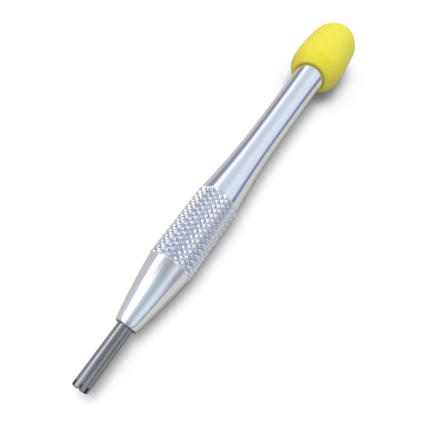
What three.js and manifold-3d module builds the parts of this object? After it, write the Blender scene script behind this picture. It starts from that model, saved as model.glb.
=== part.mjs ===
// Watch screwdriver: a turned handle with a diamond-knurled grip, a castellated blade and a spinning finger cap.
// Millimetres. Pieces are drawn with their stations along +Y from the blade's tip, then laid along +X, cap at +X.
import * as THREE from "three";
import Module from "manifold-3d";
import { mergeVertices } from "three/addons/utils/BufferGeometryUtils.js";

const wasm = await Module();
wasm.setup();

// Overall
const TOTAL_LENGTH = 100;
const SEAT_GAP = 0.03; // between faces that rest on each other
const ROUND_SEGMENTS = 48;
const SMALL_SEGMENTS = 32;

// Blade
const BLADE_RADIUS = 1.45;
const BLADE_EXPOSED = 11.15;
const BLADE_HELD = 11.25;
const BLADE_EDGE = 0.2;
const TIP_BORE_RADIUS = 0.9;
const TIP_BORE_DEPTH = 4;
const TIP_SLOTS = 7;
const TIP_SLOT_WIDTH = 0.36;
const TIP_SLOT_DEPTH = 0.95;
const TIP_SLOT_TURN = 11.2; // degrees from +Z to the first slot

// Handle
const BLADE_BORE_RADIUS = 1.5;
const BLADE_BORE_END = BLADE_EXPOSED + BLADE_HELD + 0.2;
const NOSE_FACE_RADIUS = 1.75;
const NOSE_EDGE_RADIUS = 2.3;
const NOSE_EDGE_END = 12.1;
const NOSE_EDGE_BEND = [2.1, BLADE_EXPOSED]; // radius, station, as in every outline point below
const NOSE_BEND = [3.46, 17.5];
const NOSE_BACK_RADIUS = 4.26;
const NOSE_DIVISIONS = 8;
const KNURL_START = 23.9;
const KNURL_STARTS = 19; // grooves each way
const KNURL_PITCH = 1.2; // along the axis
const KNURL_ROWS = 26; // half pitches
const KNURL_PEAK_RADIUS = 4.45;
const KNURL_DEPTH = 0.42;
const KNURL_RUN_OUT = 0.35;
const WAIST_STATION = 58;
const WAIST_RADIUS = 3.34;
const WAIST_BEND_STATION = 50.6;
const FLARE_BEND_STATION = 70;
const NECK_END = 81.6;
const NECK_END_RADIUS = 3.52;
const NECK_END_ROUND = 0.4;
const NECK_DIVISIONS = 8;
const PIVOT_BORE_RADIUS = 1.5;
const PIVOT_BORE_START = 71.4;

// Set screw, on the side away from the viewer
const SET_SCREW_STATION = 17.5;
const SET_SCREW_TURN = 235; // degrees from +Z
const SET_SCREW_RADIUS = 0.95;
const SET_SCREW_HOLE_RADIUS = 1.0;
const SET_SCREW_INNER = 1.49;
const SET_SCREW_OUTER = 3.05;
const SET_SCREW_SLOT = 0.4;
const SET_SCREW_HOLE_LENGTH = 4;
const SET_SCREW_HOLE_MIDDLE = 3;

// Cap and the pieces inside it
const CAP_RADIUS = 6.24;
const CAP_MOUTH = 80.7;
const CAP_MOUTH_RADIUS = 3.62;
const CAP_LIP_RADIUS = 4.07; // at the very front of the lip
const CAP_LIP_ROUND = 0.45;
const CAP_LIP_BEND = [4.51, CAP_MOUTH];
const CAP_LIP_END = [5.88, 83.15];
const CAP_BAND_BEND = [CAP_RADIUS, 84.23];
const CAP_BAND = [CAP_RADIUS, 86.9];
const CAP_TAPER_BEND = [CAP_RADIUS, 89.9];
const CAP_TAPER_END = [5.78, 94.2];
const CAP_SHOULDER_BEND = [5.69, 95];
const CAP_SHOULDER_END = [5.08, 96.2];
const CAP_DOME_BEND = [3.2, TOTAL_LENGTH];
const CAP_DIVISIONS = 6;
const CAP_BORE_RADIUS = 3.13;
const CAP_BORE_END = 91.9;
const BALL_POCKET_RADIUS = 1.95;
const BALL_POCKET_END = 94.8;
const PIVOT_SHANK_RADIUS = 1.45;
const PIVOT_SHANK_START = 71.6;
const JOURNAL_RADIUS = 1.9;
const PIVOT_HEAD_START = 90;
const PIVOT_HEAD_END = 91.6;
const PIVOT_HEAD_RADIUS = 2.9;
const PIVOT_SLOT_WIDTH = 0.8;
const PIVOT_SLOT_DEPTH = 0.7;
const WASHER_THICKNESS = 0.5;
const WASHER_BORE_RADIUS = 1.98;
const WASHER_RADIUS = 2.9;
const BUSH_BORE_RADIUS = 1.95;
const BUSH_RADIUS = 3.1;
const BUSH_FLANGE_RADIUS = 3.58;
const BUSH_FLANGE_END = 83;
const BUSH_END = 89.9;
const BALL_RADIUS = 1.25;
const BALL_COLUMNS = 24;
const BALL_ROWS = 14;
const SEAT_RADIUS = 1.9;
const SEAT_THICKNESS = 0.6;

const radians = THREE.MathUtils.degToRad;

function solidOf(geometry) {
  const bare = geometry.clone();
  bare.deleteAttribute("normal");
  bare.deleteAttribute("uv");
  const joined = mergeVertices(bare, 1e-4);
  const mesh = new wasm.Mesh({
    numProp: 3,
    vertProperties: new Float32Array(joined.attributes.position.array),
    triVerts: new Uint32Array(joined.index.array),
  });
  mesh.merge();
  return new wasm.Manifold(mesh);
}

function cut(geometry, tools) {
  let solid = solidOf(geometry);
  for (const tool of tools) solid = solid.subtract(solidOf(tool));
  const { vertProperties, triVerts } = solid.getMesh();
  const result = new THREE.BufferGeometry();
  result.setAttribute("position", new THREE.BufferAttribute(vertProperties, 3));
  result.setIndex(new THREE.BufferAttribute(triVerts, 1));
  return result;
}

function turned(path, divisions) {
  return new THREE.LatheGeometry(path.getPoints(divisions), ROUND_SEGMENTS);
}

// A turned piece from plain corners, each [radius, station].
function turnedCorners(corners) {
  return new THREE.LatheGeometry(corners.map(([r, y]) => new THREE.Vector2(r, y)), ROUND_SEGMENTS);
}

// Closed skin through rings of points. A ring is { station, radius(column) }; the ends close on the axis.
function ringSkin(rings, columns) {
  const positions = [];
  const radii = [];
  for (const { station, radius } of rings) {
    for (let column = 0; column < columns; column++) {
      const angle = (2 * Math.PI * column) / columns;
      const r = radius(column);
      radii.push(r);
      positions.push(r * Math.sin(angle), station, r * Math.cos(angle));
    }
  }
  const firstPole = positions.length / 3;
  positions.push(0, rings[0].station, 0);
  const lastPole = firstPole + 1;
  positions.push(0, rings[rings.length - 1].station, 0);
  const faces = [];
  for (let column = 0; column < columns; column++) {
    const next = (column + 1) % columns;
    faces.push(firstPole, next, column);
    for (let row = 0; row + 1 < rings.length; row++) {
      const [a, b] = [row * columns + column, row * columns + next];
      const [c, d] = [b + columns, a + columns];
      // The lower diagonal keeps the grooves sharp.
      if (radii[a] + radii[c] <= radii[b] + radii[d]) faces.push(a, b, c, a, c, d);
      else faces.push(a, b, d, b, c, d);
    }
    const lastRow = (rings.length - 1) * columns;
    faces.push(lastRow + column, lastRow + next, lastPole);
  }
  const skin = new THREE.BufferGeometry();
  skin.setAttribute("position", new THREE.Float32BufferAttribute(positions, 3));
  skin.setIndex(faces);
  return skin;
}

const smoothRings = (points) => points.map((p) => ({ station: p.y, radius: () => p.x }));

function knurlRings() {
  const rings = [];
  for (let row = 0; row <= KNURL_ROWS; row++) {
    rings.push({
      station: KNURL_START + (row * KNURL_PITCH) / 2,
      radius: (column) => KNURL_PEAK_RADIUS - ((row + column) % 2) * KNURL_DEPTH,
    });
  }
  return rings;
}

function handle() {
  const knurlEnd = KNURL_START + (KNURL_ROWS * KNURL_PITCH) / 2;
  const nose = new THREE.Path();
  nose.moveTo(BLADE_BORE_RADIUS, BLADE_BORE_END);
  nose.lineTo(BLADE_BORE_RADIUS, BLADE_EXPOSED);
  nose.lineTo(NOSE_FACE_RADIUS, BLADE_EXPOSED);
  nose.quadraticCurveTo(...NOSE_EDGE_BEND, NOSE_EDGE_RADIUS, NOSE_EDGE_END);
  nose.quadraticCurveTo(...NOSE_BEND, NOSE_BACK_RADIUS, KNURL_START - KNURL_RUN_OUT);
  const neck = new THREE.Path();
  neck.moveTo(NOSE_BACK_RADIUS, knurlEnd + KNURL_RUN_OUT);
  neck.quadraticCurveTo(WAIST_RADIUS, WAIST_BEND_STATION, WAIST_RADIUS, WAIST_STATION);
  neck.quadraticCurveTo(WAIST_RADIUS, FLARE_BEND_STATION, NECK_END_RADIUS, NECK_END - NECK_END_ROUND);
  neck.quadraticCurveTo(NECK_END_RADIUS, NECK_END, NECK_END_RADIUS - NECK_END_ROUND, NECK_END);
  neck.lineTo(PIVOT_BORE_RADIUS, NECK_END);
  neck.lineTo(PIVOT_BORE_RADIUS, PIVOT_BORE_START);
  const rings = [
    ...smoothRings(nose.getPoints(NOSE_DIVISIONS)),
    ...knurlRings(),
    ...smoothRings(neck.getPoints(NECK_DIVISIONS)),
  ];
  const drill = new THREE.CylinderGeometry(
    SET_SCREW_HOLE_RADIUS, SET_SCREW_HOLE_RADIUS, SET_SCREW_HOLE_LENGTH, SMALL_SEGMENTS);
  const hole = radial(drill, SET_SCREW_HOLE_MIDDLE);
  return cut(ringSkin(rings, 2 * KNURL_STARTS), [hole]);
}

// Turns a piece drawn along +Y to point out through the nose at the set screw, its middle at the given radius.
function radial(geometry, radius) {
  geometry.rotateX(Math.PI / 2);
  geometry.translate(0, SET_SCREW_STATION, radius);
  return geometry.rotateY(radians(SET_SCREW_TURN));
}

function blade() {
  const end = BLADE_EXPOSED + BLADE_HELD;
  const rod = turnedCorners([
    [0, TIP_BORE_DEPTH],
    [TIP_BORE_RADIUS, TIP_BORE_DEPTH],
    [TIP_BORE_RADIUS, 0],
    [BLADE_RADIUS - BLADE_EDGE, 0],
    [BLADE_RADIUS, BLADE_EDGE],
    [BLADE_RADIUS, end - BLADE_EDGE],
    [BLADE_RADIUS - BLADE_EDGE, end],
    [0, end],
  ]);
  // Each cutter reaches from the axis out through one side of the tip.
  const slots = [];
  for (let slot = 0; slot < TIP_SLOTS; slot++) {
    const cutter = new THREE.BoxGeometry(TIP_SLOT_WIDTH, 2 * TIP_SLOT_DEPTH, 2 * BLADE_RADIUS);
    cutter.translate(0, 0, BLADE_RADIUS);
    slots.push(cutter.rotateY(radians(TIP_SLOT_TURN + (360 / TIP_SLOTS) * slot)));
  }
  return cut(rod, slots);
}

function setScrew() {
  const length = SET_SCREW_OUTER - SET_SCREW_INNER;
  const body = new THREE.CylinderGeometry(SET_SCREW_RADIUS, SET_SCREW_RADIUS, length, SMALL_SEGMENTS);
  const slot = new THREE.BoxGeometry(SET_SCREW_SLOT, 2 * SET_SCREW_SLOT, 3 * SET_SCREW_RADIUS);
  slot.translate(0, length / 2, 0);
  return radial(cut(body, [slot]), (SET_SCREW_INNER + SET_SCREW_OUTER) / 2);
}

function pivotScrew() {
  const shoulder = NECK_END + SEAT_GAP;
  const body = turnedCorners([
    [0, PIVOT_SHANK_START],
    [PIVOT_SHANK_RADIUS, PIVOT_SHANK_START],
    [PIVOT_SHANK_RADIUS, shoulder],
    [JOURNAL_RADIUS, shoulder],
    [JOURNAL_RADIUS, PIVOT_HEAD_START],
    [PIVOT_HEAD_RADIUS, PIVOT_HEAD_START],
    [PIVOT_HEAD_RADIUS, PIVOT_HEAD_END],
    [0, PIVOT_HEAD_END],
  ]);
  const slot = new THREE.BoxGeometry(PIVOT_SLOT_WIDTH, 2 * PIVOT_SLOT_DEPTH, 3 * PIVOT_HEAD_RADIUS);
  return cut(body, [slot.translate(0, PIVOT_HEAD_END, 0)]);
}

function ringOf(inner, outer, start, end) {
  return turnedCorners([
    [inner, start],
    [outer, start],
    [outer, end],
    [inner, end],
    [inner, start],
  ]);
}

function thrustWasher() {
  const start = NECK_END + SEAT_GAP;
  return ringOf(WASHER_BORE_RADIUS, WASHER_RADIUS, start, start + WASHER_THICKNESS);
}

function capBush() {
  const start = NECK_END + WASHER_THICKNESS + 2 * SEAT_GAP;
  return turnedCorners([
    [BUSH_BORE_RADIUS, start],
    [BUSH_FLANGE_RADIUS, start],
    [BUSH_FLANGE_RADIUS, BUSH_FLANGE_END],
    [BUSH_RADIUS, BUSH_FLANGE_END],
    [BUSH_RADIUS, BUSH_END],
    [BUSH_BORE_RADIUS, BUSH_END],
    [BUSH_BORE_RADIUS, start],
  ]);
}

function thrustBall() {
  const ball = new THREE.SphereGeometry(BALL_RADIUS, BALL_COLUMNS, BALL_ROWS);
  return ball.translate(0, PIVOT_HEAD_END + SEAT_GAP + BALL_RADIUS, 0);
}

function ballSeat() {
  const start = PIVOT_HEAD_END + 2 * SEAT_GAP + 2 * BALL_RADIUS;
  return turnedCorners([
    [0, start],
    [SEAT_RADIUS, start],
    [SEAT_RADIUS, start + SEAT_THICKNESS],
    [0, start + SEAT_THICKNESS],
  ]);
}

function cap() {
  const flangeSeat = BUSH_FLANGE_END + SEAT_GAP;
  const outline = new THREE.Path();
  outline.moveTo(0, BALL_POCKET_END);
  outline.lineTo(BALL_POCKET_RADIUS, BALL_POCKET_END);
  outline.lineTo(BALL_POCKET_RADIUS, CAP_BORE_END);
  outline.lineTo(CAP_BORE_RADIUS, CAP_BORE_END);
  outline.lineTo(CAP_BORE_RADIUS, flangeSeat);
  outline.lineTo(CAP_MOUTH_RADIUS, flangeSeat);
  outline.lineTo(CAP_MOUTH_RADIUS, CAP_MOUTH + CAP_LIP_ROUND);
  // Rounded lip, widest band, long taper, soft shoulder and blunt dome
  outline.quadraticCurveTo(CAP_MOUTH_RADIUS, CAP_MOUTH, CAP_LIP_RADIUS, CAP_MOUTH);
  outline.quadraticCurveTo(...CAP_LIP_BEND, ...CAP_LIP_END);
  outline.quadraticCurveTo(...CAP_BAND_BEND, ...CAP_BAND);
  outline.quadraticCurveTo(...CAP_TAPER_BEND, ...CAP_TAPER_END);
  outline.quadraticCurveTo(...CAP_SHOULDER_BEND, ...CAP_SHOULDER_END);
  outline.quadraticCurveTo(...CAP_DOME_BEND, 0, TOTAL_LENGTH);
  return turned(outline, CAP_DIVISIONS);
}

function metal(color, roughness) {
  return new THREE.MeshStandardMaterial({ color, roughness, metalness: 1 });
}

const pieces = [
  ["handle", handle(), metal(0xcfd1d8, 0.28)],
  ["blade", blade(), metal(0x85878d, 0.32)],
  ["blade_set_screw", setScrew(), metal(0x5a5b60, 0.4)],
  ["pivot_screw", pivotScrew(), metal(0x9a9ca2, 0.3)],
  ["thrust_washer", thrustWasher(), metal(0xa4a6ab, 0.35)],
  ["cap_bush", capBush(), metal(0xb89445, 0.35)],
  ["thrust_ball", thrustBall(), metal(0xc4c6cb, 0.12)],
  ["ball_seat", ballSeat(), metal(0x8d8f95, 0.3)],
  ["cap", cap(), new THREE.MeshStandardMaterial({ color: 0xe8dc2c, roughness: 0.5, metalness: 0 })],
];

const group = new THREE.Group();
for (const [name, geometry, material] of pieces) {
  const mesh = new THREE.Mesh(geometry, material);
  mesh.name = name;
  group.add(mesh);
}
group.rotation.z = -Math.PI / 2;
group.position.set(-TOTAL_LENGTH / 2, 0, CAP_RADIUS);

export default group;
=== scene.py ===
import math

import bpy
from mathutils import Matrix, Vector


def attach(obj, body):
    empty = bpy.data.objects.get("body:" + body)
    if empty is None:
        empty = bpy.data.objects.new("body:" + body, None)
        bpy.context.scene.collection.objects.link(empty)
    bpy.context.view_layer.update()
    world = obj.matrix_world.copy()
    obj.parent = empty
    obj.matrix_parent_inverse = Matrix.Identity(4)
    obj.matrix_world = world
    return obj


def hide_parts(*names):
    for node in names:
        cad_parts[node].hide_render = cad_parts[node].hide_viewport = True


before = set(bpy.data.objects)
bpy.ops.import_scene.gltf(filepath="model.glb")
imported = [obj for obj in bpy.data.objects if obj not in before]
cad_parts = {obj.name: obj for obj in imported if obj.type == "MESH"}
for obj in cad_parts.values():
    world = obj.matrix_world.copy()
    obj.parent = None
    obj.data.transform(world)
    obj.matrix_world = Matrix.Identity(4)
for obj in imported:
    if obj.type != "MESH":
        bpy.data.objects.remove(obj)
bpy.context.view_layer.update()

# Sizes in millimetres, stations measured along the tool from the blade's tip
MM = 0.001
TOTAL_LENGTH = 100.0
AXIS_HEIGHT = 6.24
CAP_COLUMNS = 160
BLADE_COLUMNS = 96
KNURL_FINENESS = 4  # rows and columns for each half groove
CURVE_STEPS = 14
HANDLE_CREASE = 22  # degrees over which an edge stays sharp
BLADE_CREASE = 25
CAP_CREASE = 35

BLADE_RADIUS = 1.45
BLADE_EXPOSED = 11.15
BLADE_END = 22.4
BLADE_EDGE = 0.2
TIP_BORE_RADIUS = 0.9
TIP_BORE_DEPTH = 4.0
TIP_SLOTS = 7
TIP_SLOT_WIDTH = 0.36
TIP_SLOT_DEPTH = 0.95
TIP_SLOT_TURN = 11.2

KNURL_START = 23.9
KNURL_STARTS = 19
KNURL_PITCH = 1.2
KNURL_ROWS = 26
KNURL_PEAK = 4.45
KNURL_DEPTH = 0.42
KNURL_RUN_OUT = 0.35
KNURL_END = KNURL_START + KNURL_ROWS * KNURL_PITCH / 2
GRIP_SIDE_RADIUS = 4.26
GROOVE_SHADE_FALL = 3.0  # how quickly the painted shade in the grooves fades up their sides
HOLE_SHADE = (1.9, 2.1)  # radii over which the painted shade round the blade's hole fades
HOLLOW_SHADE = (1.2, 1.4)  # the same for the tip's hollow
PRONG_END_DEPTH = 0.02

NOSE_FACE_RADIUS = 1.75
NOSE_EDGE = (2.3, 12.1)  # radius and station, as in every outline point
NOSE_EDGE_BEND = (2.1, BLADE_EXPOSED)
NOSE_BEND = (3.46, 17.5)
BLADE_BORE_RADIUS = 1.5
BLADE_BORE_END = 22.6
WAIST = (3.34, 58.0)
WAIST_BEND = (3.34, 50.6)
FLARE_BEND = (3.34, 75.0)
NECK_END = 81.6
NECK_END_RADIUS = 3.7
NECK_END_ROUND = 0.4
PIVOT_BORE_RADIUS = 1.5
PIVOT_BORE_START = 71.4
SET_SCREW_STATION = 17.5
SET_SCREW_TURN = 235.0
SET_SCREW_HOLE_RADIUS = 1.0
SET_SCREW_HOLE_REACH = (1.0, 5.0)  # radii between which the hole is drilled

CAP_RADIUS = 6.24
CAP_TOUCH = 87.0
CAP_MOUTH = 80.7
CAP_MOUTH_RADIUS = 3.725
CAP_MOUTH_ROUND = 0.08
CAP_LIP_RADIUS = 4.1
FLANGE_RECESS_RADIUS = 3.62
FLANGE_RECESS = (81.9, 83.03)
CAP_BORE_RADIUS = 3.13
CAP_BORE_END = 91.9
BALL_POCKET_RADIUS = 1.95
BALL_POCKET_END = 94.8
CAP_CURVES = (  # bend and end of each curve from the lip to the dome
    ((4.51, CAP_MOUTH), (5.88, 83.15)),
    ((CAP_RADIUS, 84.23), (CAP_RADIUS, 86.9)),
    ((CAP_RADIUS, 89.9), (5.78, 94.2)),
    ((5.69, 95.0), (5.08, 96.2)),
    ((3.2, TOTAL_LENGTH), (0, TOTAL_LENGTH)),
)


# Shapes
def place(station, radius, turn):
    """A point of the tool: turn 0 is straight up and 90 degrees is towards -Y."""
    sideways = -radius * math.sin(turn)
    height = AXIS_HEIGHT + radius * math.cos(turn)
    return Vector((station - TOTAL_LENGTH / 2, sideways, height)) * MM


def curve(start, control, end, steps):
    """Points of a quadratic curve, without its first point."""
    points = []
    for i in range(1, steps + 1):
        t = i / steps
        weights = ((1 - t) ** 2, 2 * t * (1 - t), t * t)
        points.append(tuple(sum(w * p[k] for w, p in zip(weights, (start, control, end))) for k in (0, 1)))
    return points


def outline(start, *steps):
    """Joins lines (one point) and curves (control point, end point) into a list of (radius, station)."""
    points = [start]
    for step in steps:
        if isinstance(step[0], tuple):
            points += curve(points[-1], step[0], step[1], CURVE_STEPS)
        else:
            points.append(step)
    return points


def even(points):
    """Rings of the same radius all round."""
    return [(station, lambda column, r=radius: r) for radius, station in points]


def skin(name, rings, columns):
    """A mesh through rings of (station, radius of each column); a ring of radius 0 closes on the axis."""
    vertices, rows, radii = [], [], []
    for station, radius in rings:
        if radius(0) < 1e-6:
            rows.append([len(vertices)] * columns)
            radii.append([0.0] * columns)
            vertices.append(place(station, 0, 0))
            continue
        rows.append([len(vertices) + column for column in range(columns)])
        radii.append([radius(column) for column in range(columns)])
        vertices += [place(station, radii[-1][c], 2 * math.pi * c / columns) for c in range(columns)]
    faces = []
    for low, high, r_low, r_high in zip(rows, rows[1:], radii, radii[1:]):
        for c in range(columns):
            n = (c + 1) % columns
            corners = (low[c], low[n], high[n], high[c])
            if len(set(corners)) < 4:
                faces.append(tuple(dict.fromkeys(corners)))
            elif abs(r_low[c] - r_low[n]) + abs(r_high[c] - r_high[n]) < 1e-6:
                faces.append(corners)
            elif r_low[c] + r_high[n] <= r_low[n] + r_high[c]:
                faces += [(low[c], low[n], high[n]), (low[c], high[n], high[c])]
            else:
                faces += [(low[c], low[n], high[c]), (low[n], high[n], high[c])]
    mesh = bpy.data.meshes.new(name)
    mesh.from_pydata(vertices, [], faces)
    mesh.update()
    piece = bpy.data.objects.new(name, mesh)
    bpy.context.scene.collection.objects.link(piece)
    return piece


def soften(piece, angle):
    """Smooth shading that stays sharp over edges steeper than the angle, in degrees."""
    piece.data.polygons.foreach_set("use_smooth", [True] * len(piece.data.polygons))
    piece.data.set_sharp_from_angle(angle=math.radians(angle))


def cut(piece, vertices, faces):
    """Takes a closed shape out of a piece."""
    mesh = bpy.data.meshes.new("cutter")
    mesh.from_pydata(vertices, [], faces)
    cutter = bpy.data.objects.new("cutter", mesh)
    bpy.context.scene.collection.objects.link(cutter)
    step = piece.modifiers.new("cut", "BOOLEAN")
    step.operation = "DIFFERENCE"
    step.solver = "EXACT"
    step.object = cutter
    shape = bpy.data.meshes.new_from_object(piece.evaluated_get(bpy.context.evaluated_depsgraph_get()))
    piece.modifiers.clear()
    piece.data = shape
    bpy.data.objects.remove(cutter)


def outward(station, turn):
    """A frame on the axis whose +Z points out of the tool at a turn, in degrees."""
    return Matrix.Translation(place(station, 0, 0)) @ Matrix.Rotation(math.radians(turn), 4, "X")


def drill(piece, station, turn, radius, reach, sides=48):
    """A round hole across the tool's axis."""
    spot = outward(station, turn)
    angles = [2 * math.pi * side / sides for side in range(sides)]
    vertices = [spot @ (Vector((radius * math.cos(a), radius * math.sin(a), height)) * MM)
                for height in reach for a in angles]
    faces = [(k, (k + 1) % sides, sides + (k + 1) % sides, sides + k) for k in range(sides)]
    faces += [tuple(reversed(range(sides))), tuple(range(sides, 2 * sides))]
    cut(piece, vertices, faces)


def knurl_rings(columns):
    """Crossed V grooves that leave a pyramid at each crossing of the ridges."""
    rows = []
    per_column = KNURL_STARTS / columns
    for row in range(KNURL_ROWS * KNURL_FINENESS + 1):
        along = row / (2 * KNURL_FINENESS)

        def radius(column, along=along):
            around = column * per_column
            depths = [abs((along + way * around) % 1 - 0.5) * 2 for way in (1, -1)]
            return KNURL_PEAK - KNURL_DEPTH * max(depths)

        rows.append((KNURL_START + KNURL_PITCH * along, radius))
    return rows


def make_handle():
    nose = outline(
        (0, BLADE_BORE_END), (BLADE_BORE_RADIUS, BLADE_BORE_END), (BLADE_BORE_RADIUS, BLADE_EXPOSED),
        (NOSE_FACE_RADIUS, BLADE_EXPOSED), (NOSE_EDGE_BEND, NOSE_EDGE),
        (NOSE_BEND, (GRIP_SIDE_RADIUS, KNURL_START - KNURL_RUN_OUT)),
    )
    neck = outline(
        (GRIP_SIDE_RADIUS, KNURL_END + KNURL_RUN_OUT), (WAIST_BEND, WAIST),
        (FLARE_BEND, (NECK_END_RADIUS, NECK_END - NECK_END_ROUND)),
        ((NECK_END_RADIUS, NECK_END), (NECK_END_RADIUS - NECK_END_ROUND, NECK_END)),
        (PIVOT_BORE_RADIUS, NECK_END), (PIVOT_BORE_RADIUS, PIVOT_BORE_START), (0, PIVOT_BORE_START),
    )
    columns = 2 * KNURL_FINENESS * KNURL_STARTS
    piece = skin("turned_handle", even(nose) + knurl_rings(columns) + even(neck), columns)
    drill(piece, SET_SCREW_STATION, SET_SCREW_TURN, SET_SCREW_HOLE_RADIUS, SET_SCREW_HOLE_REACH)
    soften(piece, HANDLE_CREASE)
    return piece


def make_blade():
    rod = skin("castle_blade", even(outline(
        (0, TIP_BORE_DEPTH), (TIP_BORE_RADIUS, TIP_BORE_DEPTH), (TIP_BORE_RADIUS, 0),
        (BLADE_RADIUS - BLADE_EDGE, 0), (BLADE_RADIUS, BLADE_EDGE), (BLADE_RADIUS, BLADE_END - BLADE_EDGE),
        (BLADE_RADIUS - BLADE_EDGE, BLADE_END), (0, BLADE_END),
    )), BLADE_COLUMNS)
    corners = [Vector((x * TIP_SLOT_DEPTH, y * TIP_SLOT_WIDTH / 2, z * 2 * BLADE_RADIUS)) * MM
               for x in (-1, 1) for y in (-1, 1) for z in (0, 1)]
    sides = [(0, 1, 3, 2), (4, 6, 7, 5), (0, 4, 5, 1), (2, 3, 7, 6), (0, 2, 6, 4), (1, 5, 7, 3)]
    for slot in range(TIP_SLOTS):
        spot = outward(0, TIP_SLOT_TURN + 360 / TIP_SLOTS * slot)
        cut(rod, [spot @ corner for corner in corners], sides)
    soften(rod, BLADE_CREASE)
    return rod


def make_cap():
    lip_start, recess_end = FLANGE_RECESS
    points = outline(
        (0, BALL_POCKET_END), (BALL_POCKET_RADIUS, BALL_POCKET_END), (BALL_POCKET_RADIUS, CAP_BORE_END),
        (CAP_BORE_RADIUS, CAP_BORE_END), (CAP_BORE_RADIUS, recess_end), (FLANGE_RECESS_RADIUS, recess_end),
        (FLANGE_RECESS_RADIUS, lip_start), (CAP_MOUTH_RADIUS, lip_start),
        (CAP_MOUTH_RADIUS, CAP_MOUTH + CAP_MOUTH_ROUND),
        ((CAP_MOUTH_RADIUS, CAP_MOUTH), (CAP_MOUTH_RADIUS + CAP_MOUTH_ROUND, CAP_MOUTH)),
        (CAP_LIP_RADIUS, CAP_MOUTH), *CAP_CURVES,
    )
    piece = skin("finger_cap", even(points), CAP_COLUMNS)
    soften(piece, CAP_CREASE)
    return piece


# Materials
def shader(name):
    material = bpy.data.materials.new(name)
    material.use_nodes = True
    nodes = material.node_tree.nodes
    return material, material.node_tree, nodes["Principled BSDF"]


def math_node(tree, operation, first, second):
    node = tree.nodes.new("ShaderNodeMath")
    node.operation = operation
    for socket, value in zip(node.inputs, (first, second)):
        if isinstance(value, (int, float)):
            socket.default_value = value
        else:
            tree.links.new(value, socket)
    return node.outputs["Value"]


def ring_marks(tree, per_metre, detail):
    """Noise that changes along the tool only, as marks left by turning do."""
    coords = tree.nodes.new("ShaderNodeTexCoord")
    stretch = tree.nodes.new("ShaderNodeMapping")
    stretch.inputs["Scale"].default_value = (per_metre, per_metre * 0.004, per_metre * 0.004)
    noise = tree.nodes.new("ShaderNodeTexNoise")
    noise.inputs["Scale"].default_value = 1.0
    noise.inputs["Detail"].default_value = detail
    tree.links.new(coords.outputs["Object"], stretch.inputs["Vector"])
    tree.links.new(stretch.outputs["Vector"], noise.inputs["Vector"])
    return noise.outputs["Fac"]


def spread(tree, value, low, high):
    """Maps noise, mostly 0.3 to 0.7, to a range."""
    step = tree.nodes.new("ShaderNodeMapRange")
    step.inputs["From Min"].default_value = 0.3
    step.inputs["From Max"].default_value = 0.7
    step.inputs["To Min"].default_value = low
    step.inputs["To Max"].default_value = high
    tree.links.new(value, step.inputs["Value"])
    return step.outputs["Result"]


def tint(tree, value, dark, light):
    ramp = tree.nodes.new("ShaderNodeValToRGB")
    ramp.color_ramp.elements[0].position = 0.3
    ramp.color_ramp.elements[0].color = (*dark, 1)
    ramp.color_ramp.elements[1].position = 0.7
    ramp.color_ramp.elements[1].color = (*light, 1)
    tree.links.new(value, ramp.inputs["Fac"])
    return ramp.outputs["Color"]


def stops_ramp(tree, value, level, stops):
    """A colour ramp through stops of (position, colour), each colour divided by the level."""
    ramp = tree.nodes.new("ShaderNodeValToRGB")
    elements = ramp.color_ramp.elements
    while len(elements) < len(stops):
        elements.new(0.5)
    for element, (position, colour) in zip(elements, stops):
        element.position = position
        element.color = (*[c / level for c in colour], 1)
    tree.links.new(value, ramp.inputs["Fac"])
    return ramp.outputs["Color"]


def relief(tree, value, strength, distance):
    bump = tree.nodes.new("ShaderNodeBump")
    bump.inputs["Strength"].default_value = strength
    bump.inputs["Distance"].default_value = distance
    tree.links.new(value, bump.inputs["Height"])
    return bump.outputs["Normal"]


def axis_radius(tree):
    """Distance from the tool's axis, and the place along it, in metres."""
    coords = tree.nodes.new("ShaderNodeTexCoord")
    split = tree.nodes.new("ShaderNodeSeparateXYZ")
    tree.links.new(coords.outputs["Object"], split.inputs["Vector"])
    upward = math_node(tree, "SUBTRACT", split.outputs["Z"], AXIS_HEIGHT * MM)
    squares = [math_node(tree, "MULTIPLY", part, part) for part in (split.outputs["Y"], upward)]
    return math_node(tree, "POWER", math_node(tree, "ADD", *squares), 0.5), split.outputs["X"]


def groove_depth(tree):
    """0 on smooth metal and high on the knurl, rising to 1 at the bottom of its grooves."""
    radius, along = axis_radius(tree)
    depth = math_node(tree, "DIVIDE", math_node(tree, "SUBTRACT", KNURL_PEAK * MM, radius), KNURL_DEPTH * MM)
    after_start = math_node(tree, "GREATER_THAN", along, place(KNURL_START, 0, 0).x)
    before_end = math_node(tree, "LESS_THAN", along, place(KNURL_END, 0, 0).x)
    inside = math_node(tree, "MULTIPLY", after_start, before_end)
    return math_node(tree, "MULTIPLY", math_node(tree, "POWER", depth, GROOVE_SHADE_FALL), inside)


def near_axis(tree, all_inside, none_outside):
    """1 inside the first radius, falling to 0 at the second, in millimetres."""
    fall = tree.nodes.new("ShaderNodeMapRange")
    fall.inputs["From Min"].default_value = all_inside * MM
    fall.inputs["From Max"].default_value = none_outside * MM
    fall.inputs["To Min"].default_value = 1.0
    fall.inputs["To Max"].default_value = 0.0
    tree.links.new(axis_radius(tree)[0], fall.inputs["Value"])
    return fall.outputs["Result"]


def paint_shade(material, amount, colour):
    """Paints shade, a darker colour, over a metal where the amount is above 0."""
    tree = material.node_tree
    base = tree.nodes["Principled BSDF"].inputs["Base Color"]
    shade_mix = tree.nodes.new("ShaderNodeMix")
    shade_mix.data_type = "RGBA"
    tree.links.new(amount, shade_mix.inputs["Factor"])
    tree.links.new(base.links[0].from_socket, shade_mix.inputs["A"])
    shade_mix.inputs["B"].default_value = (*colour, 1)
    tree.links.new(shade_mix.outputs["Result"], base)


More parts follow.
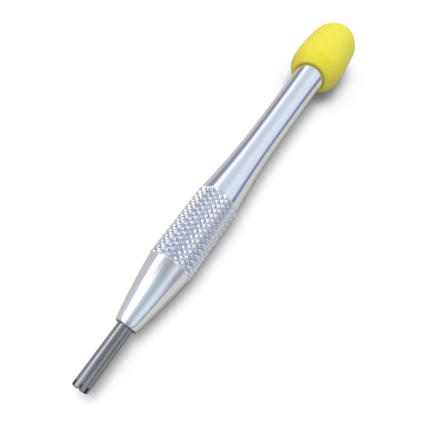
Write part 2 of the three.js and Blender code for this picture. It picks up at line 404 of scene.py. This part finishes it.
def handle_aluminium():
    """Polished, with painted shade in the knurl's grooves and round the blade's hole."""
    dark, light = (0.86, 0.87, 0.90), (0.91, 0.92, 0.94)
    material = turned_metal("polished_aluminium", dark, light, 0.09, 0.13, 9000, 0.05)
    # Painted shade: the knurl's grooves are drawn darker and bluer the deeper they sink.
    paint_shade(material, groove_depth(material.node_tree), (0.76, 0.77, 0.84))
    # Painted shade: a dark ring round the blade's hole, where the nose meets the blade.
    paint_shade(material, near_axis(material.node_tree, *HOLE_SHADE), (0.10, 0.10, 0.11))
    return material


def blade_steel():
    """Ground outside and on the prongs' ends, with painted shade inside the hollow tip and its slots."""
    dark, light = (0.31, 0.315, 0.33), (0.38, 0.385, 0.40)
    material = turned_metal("blade_steel", dark, light, 0.10, 0.15, 14000, 0.08)
    tree = material.node_tree
    behind_ends = math_node(tree, "GREATER_THAN", axis_radius(tree)[1], place(PRONG_END_DEPTH, 0, 0).x)
    painted_hollow = math_node(tree, "MULTIPLY", near_axis(tree, *HOLLOW_SHADE), behind_ends)
    # Painted shade: the inside of the hollow tip and its slots is drawn nearly black.
    paint_shade(material, painted_hollow, (0.03, 0.03, 0.03))
    return material


def turned_metal(name, dark, light, rough_low, rough_high, per_metre, mark_strength):
    material, tree, surface = shader(name)
    marks = ring_marks(tree, per_metre, 4.0)
    surface.inputs["Metallic"].default_value = 1.0
    tree.links.new(tint(tree, marks, dark, light), surface.inputs["Base Color"])
    tree.links.new(spread(tree, marks, rough_low, rough_high), surface.inputs["Roughness"])
    tree.links.new(relief(tree, marks, mark_strength, 2e-5), surface.inputs["Normal"])
    return material


def yellow_plastic():
    material, tree, surface = shader("yellow_plastic")
    coords = tree.nodes.new("ShaderNodeTexCoord")
    grain = tree.nodes.new("ShaderNodeTexNoise")
    grain.inputs["Scale"].default_value = 2500.0
    grain.inputs["Detail"].default_value = 3.0
    tree.links.new(coords.outputs["Object"], grain.inputs["Vector"])
    value = grain.outputs["Fac"]
    # The shadow on the floor is neutral, so the light that this piece throws on it is grey.
    path = tree.nodes.new("ShaderNodeLightPath")
    colour = tree.nodes.new("ShaderNodeMix")
    colour.data_type = "RGBA"
    tree.links.new(path.outputs["Is Diffuse Ray"], colour.inputs["Factor"])
    tree.links.new(tint(tree, value, (0.81, 0.73, 0.05), (0.85, 0.77, 0.06)), colour.inputs["A"])
    colour.inputs["B"].default_value = (0.2, 0.2, 0.2, 1)
    tree.links.new(colour.outputs["Result"], surface.inputs["Base Color"])
    tree.links.new(spread(tree, value, 0.40, 0.52), surface.inputs["Roughness"])
    tree.links.new(relief(tree, value, 0.05, 2e-5), surface.inputs["Normal"])
    surface.inputs["Subsurface Weight"].default_value = 0.25
    surface.inputs["Subsurface Radius"].default_value = (1.0, 0.9, 0.2)
    surface.inputs["Subsurface Scale"].default_value = 0.001
    return material


TABLE_REACH = 0.07  # metres
TABLE_SLANT = 12  # how much nearer the edge comes, for each metre along the tool
TABLE_STOPS = (  # from the table's far edge on the -Y side towards the tool
    (0.00, (0.20, 0.235, 0.36)),
    (0.36, (0.52, 0.51, 0.48)),
    (0.74, (0.60, 0.59, 0.56)),
)
PAINTED_SHADOW_REACH = 0.012  # metres
PAINTED_SHADOW_STOPS = (  # a painted shadow beside the tool, darkest towards its axis
    (0.05, (1.00, 1.00, 1.00)),
    (0.30, (0.90, 0.90, 0.90)),
    (0.48, (0.74, 0.74, 0.73)),
    (0.75, (0.60, 0.60, 0.58)),
    (0.88, (0.56, 0.56, 0.54)),
    (1.00, (0.86, 0.86, 0.86)),
)


def table_colour(tree, coords):
    """The warm grey table that the metal mirrors: dark past its slanted far edge, with a painted shadow
    beside the tool.
    """
    split = tree.nodes.new("ShaderNodeSeparateXYZ")
    tree.links.new(coords.outputs["Object"], split.inputs["Vector"])
    slant = math_node(tree, "ADD", math_node(tree, "MULTIPLY", split.outputs["X"], TABLE_SLANT), 1.0)
    slanted = math_node(tree, "MULTIPLY", split.outputs["Y"], slant)
    far = math_node(tree, "ADD", math_node(tree, "DIVIDE", slanted, TABLE_REACH), 1.0)
    near = math_node(tree, "ADD", math_node(tree, "DIVIDE", split.outputs["Y"], PAINTED_SHADOW_REACH), 1.0)
    colour = tree.nodes.new("ShaderNodeMix")
    colour.data_type = "RGBA"
    colour.blend_type = "MULTIPLY"
    colour.inputs["Factor"].default_value = 1.0
    tree.links.new(stops_ramp(tree, far, 1.0, TABLE_STOPS), colour.inputs["A"])
    tree.links.new(stops_ramp(tree, near, 1.0, PAINTED_SHADOW_STOPS), colour.inputs["B"])
    return colour.outputs["Result"]


def floor_paper():
    """White to the camera; the metal mirrors it as a warm grey table with a painted shadow beside the tool.
    """
    material, tree, surface = shader("white_floor")
    coords = tree.nodes.new("ShaderNodeTexCoord")
    grain = tree.nodes.new("ShaderNodeTexNoise")
    grain.inputs["Scale"].default_value = 300.0
    tree.links.new(coords.outputs["Object"], grain.inputs["Vector"])
    value = grain.outputs["Fac"]
    path = tree.nodes.new("ShaderNodeLightPath")
    choice = tree.nodes.new("ShaderNodeMix")
    choice.data_type = "RGBA"
    tree.links.new(path.outputs["Is Camera Ray"], choice.inputs["Factor"])
    tree.links.new(table_colour(tree, coords), choice.inputs["A"])
    tree.links.new(tint(tree, value, (0.93, 0.93, 0.93), (0.94, 0.94, 0.94)), choice.inputs["B"])
    tree.links.new(choice.outputs["Result"], surface.inputs["Base Color"])
    surface.inputs["Roughness"].default_value = 0.9
    surface.inputs["Specular IOR Level"].default_value = 0.0
    return material


def dress(piece, material):
    piece.data.materials.clear()
    piece.data.materials.append(material)


ALUMINIUM = handle_aluminium()
BLADE_STEEL = blade_steel()
STEEL = turned_metal("ground_steel", (0.31, 0.315, 0.33), (0.38, 0.385, 0.40), 0.10, 0.15, 14000, 0.08)
DARK_STEEL = turned_metal("dark_steel", (0.14, 0.14, 0.15), (0.20, 0.20, 0.21), 0.30, 0.42, 6000, 0.2)
BALL_STEEL = turned_metal("polished_steel", (0.70, 0.71, 0.73), (0.76, 0.77, 0.79), 0.05, 0.09, 3000, 0.02)
BRASS = turned_metal("bush_brass", (0.60, 0.43, 0.16), (0.70, 0.52, 0.22), 0.25, 0.34, 7000, 0.15)
PLASTIC = yellow_plastic()

# Pieces that stand for the CAD's visible nodes
for make, body, node, slot, material in (
    (make_handle, "handle", "handle", "polished_aluminium", ALUMINIUM),
    (make_blade, "blade", "blade", "ground_steel", BLADE_STEEL),
    (make_cap, "cap", "cap", "yellow_plastic", PLASTIC),
):
    piece = make()
    dress(piece, material)
    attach(piece, body)
    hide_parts(node)

# The CAD's own inner pieces get better finishes
for node, material in (
    ("blade_set_screw", DARK_STEEL), ("pivot_screw", STEEL), ("thrust_washer", STEEL),
    ("cap_bush", BRASS), ("thrust_ball", BALL_STEEL), ("ball_seat", STEEL),
):
    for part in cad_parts[node].material_slots:
        part.material = material


# Floor: touches the cap's widest ring and the low end of the knurl, as the tool lies
FLOOR_HALF = 1.0  # metres


def make_floor():
    rise = (CAP_RADIUS - KNURL_PEAK) / (CAP_TOUCH - KNURL_START)
    mesh = bpy.data.meshes.new("floor")
    corners = [(x * FLOOR_HALF, y * FLOOR_HALF) for x, y in ((-1, -1), (1, -1), (1, 1), (-1, 1))]
    mesh.from_pydata([(x, y, -x * rise) for x, y in corners], [], [(0, 1, 2, 3)])
    floor = bpy.data.objects.new("floor", mesh)
    floor.location.x = (CAP_TOUCH - TOTAL_LENGTH / 2) * MM
    bpy.context.scene.collection.objects.link(floor)
    dress(floor, floor_paper())


make_floor()


# Light: an overhead lamp for the shadow, and a studio tent that the polished metal mirrors
TENT_OVER_NOSE = (
    (0.00, (0.55, 0.60, 0.70)),
    (0.17, (0.66, 0.72, 0.82)),
    (0.21, (1.45, 1.46, 1.48)),
    (0.43, (1.45, 1.46, 1.48)),
    (0.48, (0.70, 0.74, 0.85)),
    (0.60, (0.44, 0.50, 0.55)),
    (0.67, (0.48, 0.55, 0.61)),
    (0.79, (0.76, 0.85, 0.95)),
    (0.87, (0.71, 0.80, 0.91)),
    (0.94, (0.58, 0.66, 0.78)),
    (0.97, (0.22, 0.26, 0.36)),
)
TENT_OVER_BLADE = (
    (0.00, (0.62, 0.62, 0.68)),
    (0.13, (0.55, 0.56, 0.62)),
    (0.17, (1.90, 1.91, 2.00)),
    (0.28, (1.90, 1.91, 2.00)),
    (0.33, (0.75, 0.76, 0.86)),
    (0.45, (0.46, 0.47, 0.52)),
    (0.57, (0.36, 0.38, 0.40)),
    (0.67, (0.50, 0.53, 0.55)),
    (0.77, (0.82, 0.87, 0.92)),
    (0.84, (0.60, 0.62, 0.68)),
    (0.90, (0.34, 0.34, 0.38)),
    (0.97, (0.40, 0.40, 0.42)),
)
TENT_PAST_CAP = (
    (0.00, (0.34, 0.33, 0.38)),
    (0.06, (0.27, 0.27, 0.35)),
    (0.17, (0.34, 0.36, 0.50)),
    (0.21, (1.00, 1.03, 1.12)),
    (0.30, (1.10, 1.12, 1.20)),
    (0.36, (0.70, 0.76, 0.87)),
    (0.50, (0.60, 0.66, 0.75)),
    (0.68, (0.81, 0.86, 0.95)),
    (0.90, (0.72, 0.79, 0.90)),
    (0.945, (0.44, 0.51, 0.70)),
    (0.985, (0.20, 0.22, 0.34)),
)
TENT_LEVEL = 2.0
# Directions along the tool, as the X of a unit vector, between which one stripe set fades into the next
NOSE_TO_BLADE = (-0.12, 0.0)
BLADE_TO_CAP = (0.05, 0.5)
DIM_AHEAD = (-0.6, -0.28)
DIM_LEVEL = 0.75
AMBIENT = (0.50, 0.50, 0.502)


def make_tent():
    world = bpy.data.worlds.new("tent")
    bpy.context.scene.world = world
    world.use_nodes = True
    tree = world.node_tree
    coords = tree.nodes.new("ShaderNodeTexCoord")
    split = tree.nodes.new("ShaderNodeSeparateXYZ")
    tree.links.new(coords.outputs["Generated"], split.inputs["Vector"])
    above = math_node(tree, "MAXIMUM", split.outputs["Z"], 0.0)
    around = math_node(tree, "DIVIDE", math_node(tree, "ARCTAN2", above, split.outputs["Y"]), math.pi)
    along = tree.nodes.new("ShaderNodeMapRange")
    along.inputs["From Min"].default_value = BLADE_TO_CAP[0]
    along.inputs["From Max"].default_value = BLADE_TO_CAP[1]
    tree.links.new(split.outputs["X"], along.inputs["Value"])
    over = tree.nodes.new("ShaderNodeMapRange")
    over.inputs["From Min"].default_value = NOSE_TO_BLADE[0]
    over.inputs["From Max"].default_value = NOSE_TO_BLADE[1]
    tree.links.new(split.outputs["X"], over.inputs["Value"])
    over_blade = tree.nodes.new("ShaderNodeMix")
    over_blade.data_type = "RGBA"
    tree.links.new(over.outputs["Result"], over_blade.inputs["Factor"])
    tree.links.new(stops_ramp(tree, around, TENT_LEVEL, TENT_OVER_NOSE), over_blade.inputs["A"])
    tree.links.new(stops_ramp(tree, around, TENT_LEVEL, TENT_OVER_BLADE), over_blade.inputs["B"])
    tent = tree.nodes.new("ShaderNodeMix")
    tent.data_type = "RGBA"
    tree.links.new(along.outputs["Result"], tent.inputs["Factor"])
    tree.links.new(over_blade.outputs["Result"], tent.inputs["A"])
    tree.links.new(stops_ramp(tree, around, TENT_LEVEL, TENT_PAST_CAP), tent.inputs["B"])
    path = tree.nodes.new("ShaderNodeLightPath")
    plain = tree.nodes["Background"]
    plain.inputs["Color"].default_value = (*AMBIENT, 1)
    mirrored = tree.nodes.new("ShaderNodeBackground")
    # Few things stand in front of the blade's tip, so that side of the tent is dim.
    ahead = tree.nodes.new("ShaderNodeMapRange")
    ahead.inputs["From Min"].default_value = DIM_AHEAD[0]
    ahead.inputs["From Max"].default_value = DIM_AHEAD[1]
    ahead.inputs["To Min"].default_value = DIM_LEVEL * TENT_LEVEL
    ahead.inputs["To Max"].default_value = TENT_LEVEL
    tree.links.new(split.outputs["X"], ahead.inputs["Value"])
    tree.links.new(ahead.outputs["Result"], mirrored.inputs["Strength"])
    tree.links.new(tent.outputs["Result"], mirrored.inputs["Color"])
    choice = tree.nodes.new("ShaderNodeMixShader")
    tree.links.new(path.outputs["Is Glossy Ray"], choice.inputs["Fac"])
    tree.links.new(plain.outputs["Background"], choice.inputs[1])
    tree.links.new(mirrored.outputs["Background"], choice.inputs[2])
    white = tree.nodes.new("ShaderNodeBackground")
    white.inputs["Color"].default_value = (1, 1, 1, 1)
    seen = tree.nodes.new("ShaderNodeMixShader")
    tree.links.new(path.outputs["Is Camera Ray"], seen.inputs["Fac"])
    tree.links.new(choice.outputs["Shader"], seen.inputs[1])
    tree.links.new(white.outputs["Background"], seen.inputs[2])
    tree.links.new(seen.outputs["Shader"], tree.nodes["World Output"].inputs["Surface"])


LAMP_STRENGTH = 1.98
LAMP_SPREAD = 36.0
LAMP_FROM = (0.08, 0.04, 1.0)


def make_lamp():
    data = bpy.data.lights.new("overhead", "SUN")
    data.energy = LAMP_STRENGTH
    data.angle = math.radians(LAMP_SPREAD)
    lamp = bpy.data.objects.new("overhead", data)
    lamp.rotation_mode = "QUATERNION"
    lamp.rotation_quaternion = Vector(LAMP_FROM).to_track_quat("Z", "Y")
    lamp.visible_glossy = False
    bpy.context.scene.collection.objects.link(lamp)


make_tent()
make_lamp()

# Camera: a close-up from above the blade's tip
CAMERA_AZIMUTH = -57.9
CAMERA_ELEVATION = 59.8
CAMERA_FOOT = 4.52
CAMERA_DISTANCE = 69.1
CAMERA_SIDE = 1.13
CAMERA_LENS = 33.45


def make_camera():
    azimuth, elevation = math.radians(CAMERA_AZIMUTH), math.radians(CAMERA_ELEVATION)
    back = Vector((math.sin(azimuth) * math.cos(elevation), -math.cos(azimuth) * math.cos(elevation),
                   math.sin(elevation)))
    near = Vector((0, back.y, back.z)).normalized()
    side = Vector((1, 0, 0)).cross(near)
    data = bpy.data.cameras.new("camera")
    data.sensor_width = 36.0
    data.lens = CAMERA_LENS
    data.clip_start = 0.001
    camera = bpy.data.objects.new("camera", data)
    camera.location = place(CAMERA_FOOT, 0, 0) + (near * CAMERA_DISTANCE + side * CAMERA_SIDE) * MM
    camera.rotation_euler = (math.pi / 2 - elevation, 0, azimuth)
    bpy.context.scene.collection.objects.link(camera)
    bpy.context.scene.camera = camera


make_camera()
bpy.context.scene.view_settings.view_transform = "Standard"
